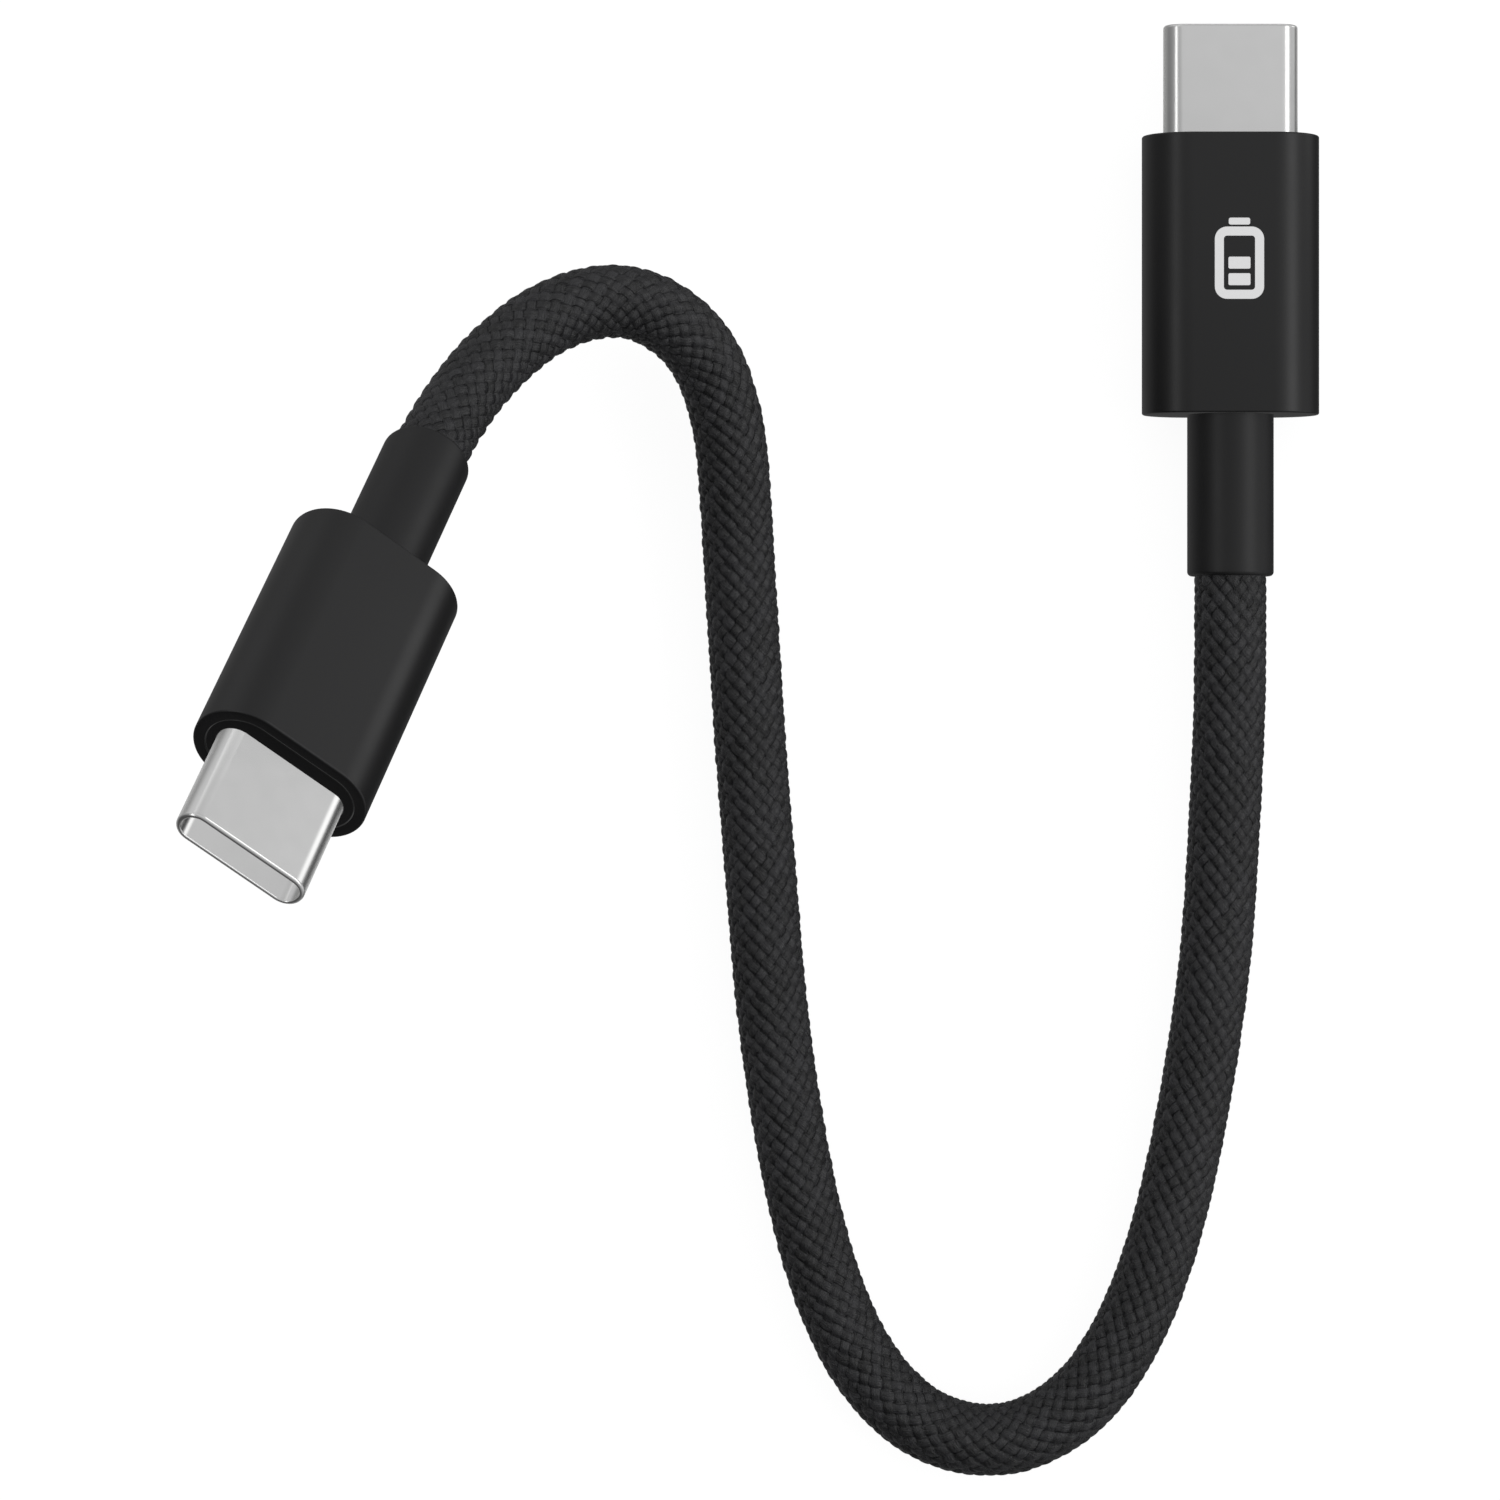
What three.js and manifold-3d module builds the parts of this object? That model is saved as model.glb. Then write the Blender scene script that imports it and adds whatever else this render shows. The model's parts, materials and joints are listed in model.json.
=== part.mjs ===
// A short woven charging cable with a USB-C plug at each end.
// Millimetres, +Z up. The cable lies on the plane z = 0. Plug A lies flat on its underside with its axis
// along +Y, and the origin is the middle of that underside. Plug B is held up by the stiff, springy cord.
import * as THREE from 'three';
import { mergeVertices } from 'three/addons/utils/BufferGeometryUtils.js';
import Module from 'manifold-3d';

const wasm = await Module();
wasm.setup();

// Plug, in its own axes: x is its width, y runs out of the metal mouth, z is its thickness.
// y = 0 is the front face of the housing.
const HOUSING = { width: 10.87, height: 6, length: 17.1, wall: 0.7, rearWall: 0.9, rim: 0.2 };
const SHELL = { width: 8.25, height: 2.4, radius: 1.15, wall: 0.3, tip: 6.8, rear: -7.6 };
const CAVITY_GAP = 0.1;
const INSULATOR = { width: 7.45, height: 1.6, radius: 0.7, front: 4.9, rear: -6.4 };
const SLOT = { width: 6.9, height: 1.1, radius: 0.2 };
const CARRIER = { width: 6.6, bottom: 0.08, top: 0.42, front: -1.2, rear: -6.2 };
const CONTACT = { pitch: 0.5, width: 0.25, thickness: 0.1, front: 4.4, rear: -8.6 };
const CONTACT_BUMP = { height: 0.14, rear: 3.2, front: 3.7 };
const TOP_CONTACTS = [-5.5, -2.5, -1.5, -0.5, 0.5, 2.5, 5.5];
const BOTTOM_CONTACTS = [-5.5, -2.5, 0.5, 2.5, 5.5];
const LATCH = { width: 6.5, thickness: 0.12, front: -0.6, rear: -6 };
const LATCH_ARM = { width: 0.25, height: 0.5, rear: -0.8, tip: 3.8, hook: 0.7, hookLength: 0.5 };
const EMI = { width: 5.4, bottom: 0.82, thickness: 0.06, rear: 1.6, bandFront: 2.8 };
const EMI_FINGER = { width: 0.6, pitch: 2.2, rear: 2.6, front: 4.6 };
const CARD = { width: 8, thickness: 0.8, front: -7.9, rear: -12.1 };
const CHIP = { size: 2, height: 0.55, y: -10.2 };
const CAN = { width: 8.9, height: 3.9, wall: 0.2, front: -6.6, rear: -13.3, split: 0.1 };
const FRONT_PLATE = { front: -0.05, rear: -1.6, gap: 0.05 };
const RELIEF = { diameter: 5.3, length: 9.9, rim: 0.35, cordGap: 0.1, coreGap: 0.3 };
const FLANGE = { width: 7, height: 4.3, length: 1 };
const JACKET = { radius: 1.5, front: -13.4, sides: 12 };
const CRIMP = { outer: 2.05, inner: 1.6, front: -13.55, rear: -14.95 };
const SMALL_GAP = 0.05;

// Wires: x and side of the card that each is soldered to, radius, and where it lies in the jacket as x and z
const WIRES = {
  vbus: { x: 2.6, side: 1, radius: 0.34, lay: [0.6, 0.6], colour: 0xb3262a },
  ground: { x: -2.6, side: 1, radius: 0.34, lay: [-0.6, 0.6], colour: 0x1a1a1a },
  cc: { x: 0, side: 1, radius: 0.22, lay: [0, 0.24], colour: 0x2a52a8 },
  data_plus: { x: 1.2, side: -1, radius: 0.22, lay: [0.48, -0.64], colour: 0x2f8a4a },
  data_minus: { x: -1.2, side: -1, radius: 0.22, lay: [-0.48, -0.64], colour: 0xe6e6e4 },
};
const WIRE = { padFront: -11.3, padRear: -12.2, straight: 0.5, sides: 6, steps: 6 };

// How finely round pieces are divided, and how far a cutting tool passes the face it cuts
const ARC_STEPS = 5;
const SMALL_ARC_STEPS = 3;
const HOUSING_ARC_STEPS = 6;
const TURNED_SIDES = 16;
const CUT_PAST = 1;

// Cord
const CORD = { radius: 2.2, sleeveBore: 1.8, coreRadius: 1.5, grip: 2.5, sides: 10, coreSides: 8, steps: 48 };
const HINGE_GAP = 0.3;

// Where the plugs are
const REAR_END = -HOUSING.length - RELIEF.length;
const FLEX_Y = -HOUSING.length - RELIEF.length / 2;
const PLUG_A = { front: [0, HOUSING.length / 2, HOUSING.height / 2], heading: 90, tilt: 0, roll: 0 };
const PLUG_B = { front: [-55.65, -30.5, 36.27], heading: -111.1, tilt: 42.8, roll: 20.5 };

// The cord's free route from one strain relief to the other
const ROUTE = [
  [0, -21.2, 2.96],
  [-0.03, -26.1, 2.75],
  [-0.2, -31.1, 2.45],
  [-0.45, -36.1, 2.28],
  [-0.8, -41.1, 2.25],
  [-1.4, -46.1, 2.25],
  [-2.2, -51, 2.25],
  [-3.2, -55.9, 2.25],
  [-4.5, -60.7, 2.25],
  [-6.4, -65.3, 2.25],
  [-9.3, -69.3, 2.25],
  [-13.7, -71.6, 2.25],
  [-18.5, -70.8, 2.25],
  [-22.1, -67.5, 2.25],
  [-24.4, -63.1, 2.25],
  [-25.9, -58.3, 2.25],
  [-26.9, -53.5, 2.25],
  [-27.7, -48.5, 2.25],
  [-28.3, -43.6, 2.25],
  [-28.7, -38.6, 2.25],
  [-29.1, -33.6, 2.25],
  [-29.5, -28.6, 2.25],
  [-29.8, -23.6, 2.25],
  [-30.1, -18.7, 2.4],
  [-30.4, -13.7, 2.9],
  [-30.9, -8.85, 3.8],
  [-32.7, -4.33, 5.2],
  [-36.6, -1.88, 7],
  [-40.9, -2.68, 9.25],
  [-44.3, -5.3, 11.9],
  [-46.8, -8.6, 14.9],
];

const metal = (color, roughness) => new THREE.MeshStandardMaterial({ color, roughness, metalness: 1 });
const plastic = (color, roughness) => new THREE.MeshStandardMaterial({ color, roughness, metalness: 0 });
const nickelSteel = metal(0xc4c4c4, 0.28);
const tinnedSteel = metal(0xb9bbbd, 0.4);
const goldPlate = metal(0xd9b35a, 0.3);
const blackPolycarbonate = plastic(0x2b2b2c, 0.45);
const blackElastomer = plastic(0x262627, 0.55);
const naturalLcp = plastic(0xe9e7e1, 0.5);
const circuitBoard = plastic(0x1f5b3a, 0.5);
const siliconPackage = plastic(0x161617, 0.5);
const jacketPvc = plastic(0x3a3a3c, 0.6);
const wovenYarn = plastic(0x2f2f31, 0.85);

// A closed mesh as a manifold solid, and back again
function toSolid(geometry) {
  const bare = geometry.clone();
  bare.deleteAttribute('normal');
  bare.deleteAttribute('uv');
  const merged = mergeVertices(bare, 1e-5);
  const vertProperties = new Float32Array(merged.attributes.position.array);
  const triVerts = new Uint32Array(merged.index.array);
  return new wasm.Manifold(new wasm.Mesh({ numProp: 3, vertProperties, triVerts }));
}

function toGeometry(solid) {
  const mesh = solid.getMesh();
  const geometry = new THREE.BufferGeometry();
  geometry.setAttribute('position', new THREE.BufferAttribute(new Float32Array(mesh.vertProperties), 3));
  geometry.setIndex(new THREE.BufferAttribute(new Uint32Array(mesh.triVerts), 1));
  return geometry;
}

const union = (geometries) => toGeometry(geometries.map(toSolid).reduce((a, b) => a.add(b)));
const cut = (body, tool) => toGeometry(toSolid(body).subtract(toSolid(tool)));

// A rectangle with rounded corners, width along x and height along the shape's y
function roundedOutline(path, width, height, radius) {
  const x = width / 2 - radius;
  const y = height / 2 - radius;
  path.absarc(x, y, radius, 0, Math.PI / 2);
  path.absarc(-x, y, radius, Math.PI / 2, Math.PI);
  path.absarc(-x, -y, radius, Math.PI, 1.5 * Math.PI);
  path.absarc(x, -y, radius, 1.5 * Math.PI, 2 * Math.PI);
  path.closePath();
  return path;
}

// Extrudes a cross-section drawn in (x, z) along the plug's y axis from yRear to yFront
function extrudeAlongY(shape, yRear, yFront, curveSegments = ARC_STEPS) {
  const depth = yFront - yRear;
  const geometry = new THREE.ExtrudeGeometry(shape, { depth, bevelEnabled: false, curveSegments });
  geometry.rotateX(Math.PI / 2);
  geometry.translate(0, yFront, 0);
  return geometry;
}

// A bar with full-radius sides
function bar(width, height, yRear, yFront, curveSegments = ARC_STEPS) {
  const shape = roundedOutline(new THREE.Shape(), width, height, height / 2);
  return extrudeAlongY(shape, yRear, yFront, curveSegments);
}

function tube(outer, inner, yRear, yFront, curveSegments = ARC_STEPS) {
  const shape = roundedOutline(new THREE.Shape(), outer.width, outer.height, outer.radius);
  shape.holes.push(roundedOutline(new THREE.Path(), inner.width, inner.height, inner.radius));
  return extrudeAlongY(shape, yRear, yFront, curveSegments);
}

function box(width, height, yRear, yFront, x = 0, z = 0) {
  const geometry = new THREE.BoxGeometry(width, yFront - yRear, height);
  geometry.translate(x, (yRear + yFront) / 2, z);
  return geometry;
}

// A turned piece about the plug's y axis; points are [radius, y]
function turned(points, segments = TURNED_SIDES) {
  const profile = points.map(([r, y]) => new THREE.Vector2(r, y));
  return new THREE.LatheGeometry([...profile, profile[0]], segments);
}

function swept(curve, radius, sides, steps, bore = 0) {
  const ring = (target, r) => {
    for (let i = 0; i < sides; i += 1) {
      const angle = (2 * Math.PI * i) / sides;
      const point = [r * Math.cos(angle), r * Math.sin(angle)];
      if (i === 0) target.moveTo(...point);
      else target.lineTo(...point);
    }
    target.closePath();
    return target;
  };
  const section = ring(new THREE.Shape(), radius);
  if (bore) section.holes.push(ring(new THREE.Path(), bore));
  return new THREE.ExtrudeGeometry(section, { steps, extrudePath: curve, bevelEnabled: false });
}

// Drawn steel shell: the metal tip that goes into the socket
function shell() {
  const outer = { width: SHELL.width, height: SHELL.height, radius: SHELL.radius };
  const inner = {
    width: SHELL.width - 2 * SHELL.wall,
    height: SHELL.height - 2 * SHELL.wall,
    radius: SHELL.radius - SHELL.wall,
  };
  return tube(outer, inner, SHELL.rear, SHELL.tip);
}

// Liquid-crystal-polymer block with the slot that takes the socket's tongue
function insulator() {
  return tube(INSULATOR, SLOT, INSULATOR.rear, INSULATOR.front, SMALL_ARC_STEPS);
}

// A row of contact strips moulded into its carrier; side is 1 for the top row and -1 for the bottom row
function contactRow(places, side) {
  const carrierHeight = CARRIER.top - CARRIER.bottom;
  const carrierMiddle = side * (CARRIER.top + CARRIER.bottom) / 2;
  const pieces = [box(CARRIER.width, carrierHeight, CARRIER.rear, CARRIER.front, 0, carrierMiddle)];
  const stripZ = side * (CARRIER.top + CONTACT.thickness / 2 - SMALL_GAP / 2);
  const bumpZ = side * (CARRIER.top - CONTACT_BUMP.height / 2);
  for (const place of places) {
    const x = place * CONTACT.pitch;
    pieces.push(box(CONTACT.width, CONTACT.thickness, CONTACT.rear, CONTACT.front, x, stripZ));
    pieces.push(box(CONTACT.width, CONTACT_BUMP.height, CONTACT_BUMP.rear, CONTACT_BUMP.front, x, bumpZ));
  }
  return union(pieces);
}

// Spring-steel mid plate between the rows, with a hooked arm down each side of the slot
function latchPlate() {
  const pieces = [box(LATCH.width, LATCH.thickness, LATCH.rear, LATCH.front)];
  for (const side of [-1, 1]) {
    const armX = side * (LATCH.width - LATCH_ARM.width) / 2;
    const hookX = side * (LATCH.width - LATCH_ARM.hook) / 2;
    const hookRear = LATCH_ARM.tip - LATCH_ARM.hookLength;
    pieces.push(box(LATCH_ARM.width, LATCH_ARM.height, LATCH_ARM.rear, LATCH_ARM.tip, armX));
    pieces.push(box(LATCH_ARM.hook, LATCH_ARM.height, hookRear, LATCH_ARM.tip, hookX));
  }
  return union(pieces);
}

// Sheet spring between the insulator and the shell, with three fingers
function emiSpring(side) {
  const z = side * (EMI.bottom + EMI.thickness / 2);
  const pieces = [box(EMI.width, EMI.thickness, EMI.rear, EMI.bandFront, 0, z)];
  for (const place of [-1, 0, 1]) {
    const x = place * EMI_FINGER.pitch;
    pieces.push(box(EMI_FINGER.width, EMI.thickness, EMI_FINGER.rear, EMI_FINGER.front, x, z));
  }
  return union(pieces);
}

// Folded cover over half of the circuit card
function shieldHalf(side) {
  const middle = (CAN.width - CAN.height) / 2;
  const outer = CAN.height / 2 - CAN.split;
  const inner = outer - CAN.wall;
  const half = new THREE.Shape();
  half.absarc(middle, CAN.split, outer, 0, Math.PI / 2);
  half.absarc(-middle, CAN.split, outer, Math.PI / 2, Math.PI);
  half.absarc(-middle, CAN.split, inner, Math.PI, Math.PI / 2, true);
  half.absarc(middle, CAN.split, inner, Math.PI / 2, 0, true);
  half.closePath();
  const geometry = extrudeAlongY(half, CAN.rear, CAN.front);
  if (side < 0) geometry.rotateY(Math.PI);
  return geometry;
}

// Insulated wire from its pad on the card to the jacket's end
function wire({ x, side, radius, lay }) {
  const padZ = side * (CARD.thickness / 2 + radius + SMALL_GAP);
  const end = JACKET.front + SMALL_GAP;
  const points = [
    new THREE.Vector3(x, WIRE.padFront, padZ),
    new THREE.Vector3(x, WIRE.padRear, padZ),
    new THREE.Vector3(lay[0], end + WIRE.straight, lay[1]),
    new THREE.Vector3(lay[0], end, lay[1]),
  ];
  return swept(new THREE.CatmullRomCurve3(points), radius, WIRE.sides, WIRE.steps);
}

function crimpFerrule() {
  return turned([
    [CRIMP.inner, CRIMP.rear],
    [CRIMP.outer, CRIMP.rear],
    [CRIMP.outer, CRIMP.front],
    [CRIMP.inner, CRIMP.front],
  ]);
}

// End of the cord's jacket, from the crimp to the middle of the strain relief, where the cord flexes
function jacketEnd() {
  const rear = FLEX_Y + HINGE_GAP;
  return turned([
    [0, rear],
    [JACKET.radius, rear],
    [JACKET.radius, JACKET.front],
    [0, JACKET.front],
  ], JACKET.sides);
}

// Plate that closes the housing's front around the metal shell
function frontPlate() {
  const grow = 2 * (HOUSING.wall + FRONT_PLATE.gap);
  const outer = { width: HOUSING.width - grow, height: HOUSING.height - grow };
  outer.radius = outer.height / 2;
  const hole = {
    width: SHELL.width + CAVITY_GAP,
    height: SHELL.height + CAVITY_GAP,
    radius: SHELL.radius + CAVITY_GAP / 2,
  };
  return tube(outer, hole, FRONT_PLATE.rear, FRONT_PLATE.front);
}

// Moulded housing: a flat-sided tube with round edges, and a rear wall that the strain relief passes through
function housing() {
  const { width, height, length, wall, rearWall, rim } = HOUSING;
  const slab = bar(width, height, -length + rim, -rim, HOUSING_ARC_STEPS);
  const rearRim = bar(width - rim, height - rim, -length, -rim, HOUSING_ARC_STEPS);
  const frontRim = bar(width - rim, height - rim, -length + rim, 0, HOUSING_ARC_STEPS);
  const outside = union([slab, rearRim, frontRim]);
  const inside = bar(width - 2 * wall, height - 2 * wall, -length + rearWall, CUT_PAST);
  const holeRadius = RELIEF.diameter / 2 + SMALL_GAP;
  const holeFront = -length + rearWall + CUT_PAST;
  const reliefHole = turned([
    [0, -length - CUT_PAST],
    [holeRadius, -length - CUT_PAST],
    [holeRadius, holeFront],
    [0, holeFront],
  ]);
  return cut(cut(outside, inside), reliefHole);
}

// Elastomer strain relief: a smooth sleeve with a flange that sits behind the housing's rear wall
function strainRelief() {
  const radius = RELIEF.diameter / 2;
  const flangeRear = -HOUSING.length + HOUSING.rearWall + SMALL_GAP;
  const flangeFront = flangeRear + FLANGE.length;
  const cordBore = CORD.radius + RELIEF.cordGap;
  const coreBore = JACKET.radius + RELIEF.coreGap;
  const step = REAR_END + CORD.grip + HINGE_GAP;
  const bevel = RELIEF.rim * (1 - Math.SQRT1_2);
  const sleeve = turned([
    [cordBore, REAR_END],
    [radius - RELIEF.rim, REAR_END],
    [radius - bevel, REAR_END + bevel],
    [radius, REAR_END + RELIEF.rim],
    [radius, flangeFront],
    [coreBore, flangeFront],
    [coreBore, step],
    [cordBore, step],
  ]);
  const bore = turned([
    [0, flangeRear - CUT_PAST],
    [coreBore, flangeRear - CUT_PAST],
    [coreBore, flangeFront + CUT_PAST],
    [0, flangeFront + CUT_PAST],
  ]);
  const flange = cut(bar(FLANGE.width, FLANGE.height, flangeRear, flangeFront), bore);
  const inHousing = bar(HOUSING.width, FLANGE.height, flangeRear, flangeFront + CUT_PAST);
  const behind = box(HOUSING.width, HOUSING.width, REAR_END - CUT_PAST, flangeRear);
  const front = toSolid(sleeve).intersect(toSolid(inHousing));
  const rear = toSolid(sleeve).intersect(toSolid(behind));
  return toGeometry(rear.add(front).add(toSolid(flange)));
}

// Places one plug's nodes, named with its prefix
function plug(prefix, place, hasChip) {
  const group = new THREE.Group();
  const heading = THREE.MathUtils.degToRad(place.heading);
  const tilt = THREE.MathUtils.degToRad(place.tilt);
  const roll = THREE.MathUtils.degToRad(place.roll);
  const axis = new THREE.Vector3(
    Math.cos(tilt) * Math.cos(heading),
    Math.cos(tilt) * Math.sin(heading),
    Math.sin(tilt),
  );
  const level = new THREE.Vector3(Math.sin(heading), -Math.cos(heading), 0);
  const up = level.clone().cross(axis);
  const width = level.clone().multiplyScalar(Math.cos(roll)).addScaledVector(up, Math.sin(roll));
  const basis = new THREE.Matrix4().makeBasis(width, axis, width.clone().cross(axis));
  group.quaternion.setFromRotationMatrix(basis);
  group.position.set(...place.front);

  const add = (name, geometry, material) => {
    const mesh = new THREE.Mesh(geometry, material);
    mesh.name = `${prefix}_${name}`;
    group.add(mesh);
  };
  add('housing', housing(), blackPolycarbonate);
  add('front_plate', frontPlate(), blackPolycarbonate);
  add('strain_relief', strainRelief(), blackElastomer);
  add('shell', shell(), nickelSteel);
  add('insulator', insulator(), naturalLcp);
  add('contact_row_top', contactRow(TOP_CONTACTS, 1), goldPlate);
  add('contact_row_bottom', contactRow(BOTTOM_CONTACTS, -1), goldPlate);
  add('latch_plate', latchPlate(), tinnedSteel);
  add('emi_spring_top', emiSpring(1), tinnedSteel);
  add('emi_spring_bottom', emiSpring(-1), tinnedSteel);
  add('circuit_card', box(CARD.width, CARD.thickness, CARD.rear, CARD.front), circuitBoard);
  if (hasChip) {
    const z = CARD.thickness / 2 + SMALL_GAP / 2 + CHIP.height / 2;
    const chip = box(CHIP.size, CHIP.height, CHIP.y - CHIP.size / 2, CHIP.y + CHIP.size / 2, 0, z);
    add('cable_id_chip', chip, siliconPackage);
  }
  add('shield_upper', shieldHalf(1), tinnedSteel);
  add('shield_lower', shieldHalf(-1), tinnedSteel);
  for (const [name, run] of Object.entries(WIRES)) {
    add(`wire_${name}`, wire(run), plastic(run.colour, 0.5));
  }
  add('crimp_ferrule', crimpFerrule(), tinnedSteel);
  add('jacket_end', jacketEnd(), jacketPvc);
  group.updateMatrixWorld(true);
  return group;
}

// Points on a plug's axis, y millimetres in front of its housing's front face
const onAxis = (group, y) => new THREE.Vector3(0, y, 0).applyMatrix4(group.matrixWorld);

function cord(plugA, plugB) {
  const free = ROUTE.map((point) => new THREE.Vector3(...point));
  const between = (yEnds) => {
    const startPoints = yEnds.map((y) => onAxis(plugA, y));
    const endPoints = yEnds.map((y) => onAxis(plugB, y)).reverse();
    return new THREE.CatmullRomCurve3([...startPoints, ...free, ...endPoints], false, 'centripetal');
  };
  const sleevePath = between([REAR_END + CORD.grip, REAR_END]);
  const corePath = between([FLEX_Y - HINGE_GAP, REAR_END]);
  const sleeve = new THREE.Mesh(
    swept(sleevePath, CORD.radius, CORD.sides, CORD.steps, CORD.sleeveBore),
    wovenYarn,
  );
  sleeve.name = 'cord_sleeve';
  const core = new THREE.Mesh(
    swept(corePath, CORD.coreRadius, CORD.coreSides, CORD.steps),
    jacketPvc,
  );
  core.name = 'cord_core';
  return [sleeve, core];
}

const cable = new THREE.Group();
const plugA = plug('plug_a', PLUG_A, true);
const plugB = plug('plug_b', PLUG_B, false);
cable.add(plugA, plugB, ...cord(plugA, plugB));

export default cable;
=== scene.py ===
import json
import math

import bmesh
import bpy
import numpy as np
from mathutils import Matrix, Vector

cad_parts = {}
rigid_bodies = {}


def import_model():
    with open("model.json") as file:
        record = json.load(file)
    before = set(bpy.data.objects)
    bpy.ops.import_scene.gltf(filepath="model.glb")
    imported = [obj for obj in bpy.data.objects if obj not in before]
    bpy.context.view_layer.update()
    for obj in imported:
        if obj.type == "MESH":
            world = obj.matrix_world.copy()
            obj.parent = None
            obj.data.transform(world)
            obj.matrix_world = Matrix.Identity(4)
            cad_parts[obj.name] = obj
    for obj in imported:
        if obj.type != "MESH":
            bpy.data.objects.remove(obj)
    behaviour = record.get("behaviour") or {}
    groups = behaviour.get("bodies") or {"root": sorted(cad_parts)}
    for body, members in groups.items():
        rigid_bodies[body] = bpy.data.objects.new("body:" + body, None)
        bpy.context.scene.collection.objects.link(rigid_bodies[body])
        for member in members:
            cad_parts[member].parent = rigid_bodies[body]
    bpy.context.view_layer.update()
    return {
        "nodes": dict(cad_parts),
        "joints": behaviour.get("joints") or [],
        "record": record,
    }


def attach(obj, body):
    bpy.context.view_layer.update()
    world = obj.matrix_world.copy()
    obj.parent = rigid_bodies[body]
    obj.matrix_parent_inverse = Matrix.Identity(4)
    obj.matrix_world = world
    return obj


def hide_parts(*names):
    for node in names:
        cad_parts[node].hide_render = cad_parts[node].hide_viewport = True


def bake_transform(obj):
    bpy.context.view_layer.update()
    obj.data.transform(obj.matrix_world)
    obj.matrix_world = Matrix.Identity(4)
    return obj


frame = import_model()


# ---------------------------------------------------------------------------------------------
# Table and camera. A white sweep table, seen from straight above through a long lens, so that
# parallel edges stay almost parallel and the raised plug looks only a little larger.
# ---------------------------------------------------------------------------------------------
# sizes are in millimetres, which MM turns to metres, but the table's and the lights' are in metres
MM = 0.001
VIEW_CENTRE = Vector((-29.5, -29.12, 0)) * MM
VIEW_HEIGHT = 352.9 * MM
VIEW_LENS = 136.75
SENSOR_WIDTH = 36
NEAREST_SEEN = 10 * MM
TABLE_HALF = 3.0
TABLE_DROP = 0.05 * MM
TABLE_GLOW = 0.93
TABLE_PAINT = 0.2


def linear(hex_colour):
    """An sRGB hex value such as "#2b2b2c" as linear red, green, blue and an alpha of 1."""
    channels = [int(hex_colour[i : i + 2], 16) / 255 for i in (1, 3, 5)]
    return [c / 12.92 if c <= 0.04045 else ((c + 0.055) / 1.055) ** 2.4 for c in channels] + [1.0]


def new_material(name):
    """An empty node material and its node tree."""
    material = bpy.data.materials.new(name)
    material.use_nodes = True
    material.node_tree.nodes.clear()
    return material, material.node_tree


def node(tree, kind, settings=None, inputs=None, links=None):
    """Adds a node with its properties, its input values and its links, as input: (node, output)."""
    made = tree.nodes.new(kind)
    for name, value in (settings or {}).items():
        setattr(made, name, value)
    for name, value in (inputs or {}).items():
        made.inputs[name].default_value = value
    for name, (source, output) in (links or {}).items():
        tree.links.new(source.outputs[output], made.inputs[name])
    return made


def mesh_object(name, vertices, faces):
    """A smooth-shaded mesh of these vertices and faces, in the scene."""
    mesh = bpy.data.meshes.new(name)
    mesh.from_pydata(vertices, [], faces)
    mesh.validate()
    mesh.polygons.foreach_set("use_smooth", [True] * len(mesh.polygons))
    made = bpy.data.objects.new(name, mesh)
    bpy.context.scene.collection.objects.link(made)
    return made


camera = bpy.data.objects.new("camera", bpy.data.cameras.new("camera"))
bpy.context.scene.collection.objects.link(camera)
camera.data.lens = VIEW_LENS
camera.data.sensor_width = SENSOR_WIDTH
camera.data.clip_start = NEAREST_SEEN
camera.location = VIEW_CENTRE + Vector((0, 0, VIEW_HEIGHT))
bpy.context.scene.camera = camera
bpy.context.scene.view_settings.view_transform = "Standard"

# opal acrylic, cast and matt: flat white and lit from below, so that shadows on it stay faint
opal_acrylic, tree = new_material("backlit opal acrylic")
glow = node(tree, "ShaderNodeEmission", inputs={"Color": (1, 1, 1, 1), "Strength": TABLE_GLOW})
paint = node(tree, "ShaderNodeBsdfDiffuse", inputs={"Color": (TABLE_PAINT, TABLE_PAINT, TABLE_PAINT, 1)})
both = node(tree, "ShaderNodeAddShader", links={0: (glow, 0), 1: (paint, 0)})
node(tree, "ShaderNodeOutputMaterial", links={"Surface": (both, 0)})
table_corners = [
    (x * TABLE_HALF, y * TABLE_HALF, -TABLE_DROP) for x, y in ((-1, -1), (1, -1), (1, 1), (-1, 1))
]
table = mesh_object("table", table_corners, [(0, 1, 2, 3)])
table.data.materials.append(opal_acrylic)
table.visible_glossy = False
table.visible_shadow = False


# ---------------------------------------------------------------------------------------------
# Studio light. A wide softbox on the right and a narrow strip on the left, inside a tent that is
# bright towards the upper right and dark towards the lower left and below the horizon.
# ---------------------------------------------------------------------------------------------
SOFTBOX_DISTANCE = 0.9


def softbox(name, off_zenith, azimuth, size, radiance):
    """A rectangular light. off_zenith and azimuth are degrees, size is (across, along) in metres."""
    tilt, turn = math.radians(off_zenith), math.radians(azimuth)
    across = math.sin(tilt)
    direction = Vector((across * math.cos(turn), across * math.sin(turn), math.cos(tilt)))
    light = bpy.data.lights.new(name, "AREA")
    light.shape = "RECTANGLE"
    light.size, light.size_y = size
    light.energy = radiance * size[0] * size[1] * math.pi
    made = bpy.data.objects.new(name, light)
    made.location = VIEW_CENTRE + direction * SOFTBOX_DISTANCE
    made.rotation_euler = (0, tilt, turn)
    bpy.context.scene.collection.objects.link(made)
    return made


softbox("right_softbox", off_zenith=50, azimuth=6, size=(0.34, 1.0), radiance=1.3)
softbox("left_strip", off_zenith=38, azimuth=180, size=(0.19, 0.9), radiance=1.3)

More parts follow.
